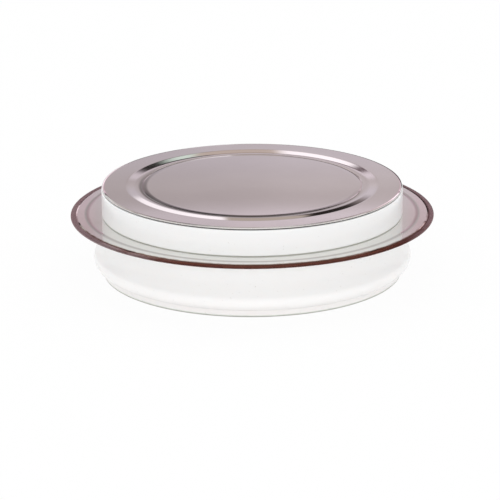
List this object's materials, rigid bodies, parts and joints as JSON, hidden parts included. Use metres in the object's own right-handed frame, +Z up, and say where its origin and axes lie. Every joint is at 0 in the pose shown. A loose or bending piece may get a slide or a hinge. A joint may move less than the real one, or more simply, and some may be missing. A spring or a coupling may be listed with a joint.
{
  "type": "disc thyristor",
  "caption": "Press-pack power thyristor: a flat round capsule of white ceramic rings with a thin welded flange, shallow metal contact faces and a gate tube at the back.",
  "frame": {"origin": "middle of the lower face, on the plane of the bottom lid's rim", "axes": "+Z up along the axis of the disc, from the cathode face to the anode face; the gate tube points along +Y"},
  "size_m": [0.0815, 0.0814, 0.0202],
  "materials": {
    "lid_nickel": "satin nickel plating on copper sheet",
    "flange_nickel": "bright nickel plating, lip bare brown copper",
    "white_ceramic": "white glaze",
    "braze": "dull silver-copper braze",
    "copper": "turned copper",
    "silver": "silver foil",
    "molybdenum": "ground molybdenum",
    "silicon": "polished silicon",
    "sealant": "silicone rubber",
    "insulator": "white fluoroplastic",
    "spring_steel": "spring wire",
    "gold_plate": "plated contact",
    "tube_metal": "nickel tube",
    "solder": "dull solder"
  },
  "bodies": {
    "root": {"top_lid": "lid_nickel", "bottom_lid": "lid_nickel", "top_lid_braze": "braze", "bottom_lid_braze": "braze", "upper_flange_braze": "braze", "lower_flange_braze": "braze", "upper_ceramic": "white_ceramic", "lower_ceramic": "white_ceramic", "upper_flange": "flange_nickel", "lower_flange": "flange_nickel", "upper_pole": "copper", "lower_pole": "copper", "upper_foil": "silver", "lower_foil": "silver", "upper_molybdenum": "molybdenum", "lower_molybdenum": "molybdenum", "silicon_wafer": "silicon", "edge_sealant": "sealant", "locating_ring": "insulator", "gate_cup": "insulator", "gate_spring": "spring_steel", "gate_pin": "gold_plate", "gate_collar": "insulator", "gate_lead": "copper", "gate_sleeve": "insulator", "gate_tube": "tube_metal", "gate_plug": "solder"}
  },
  "joints": []
}
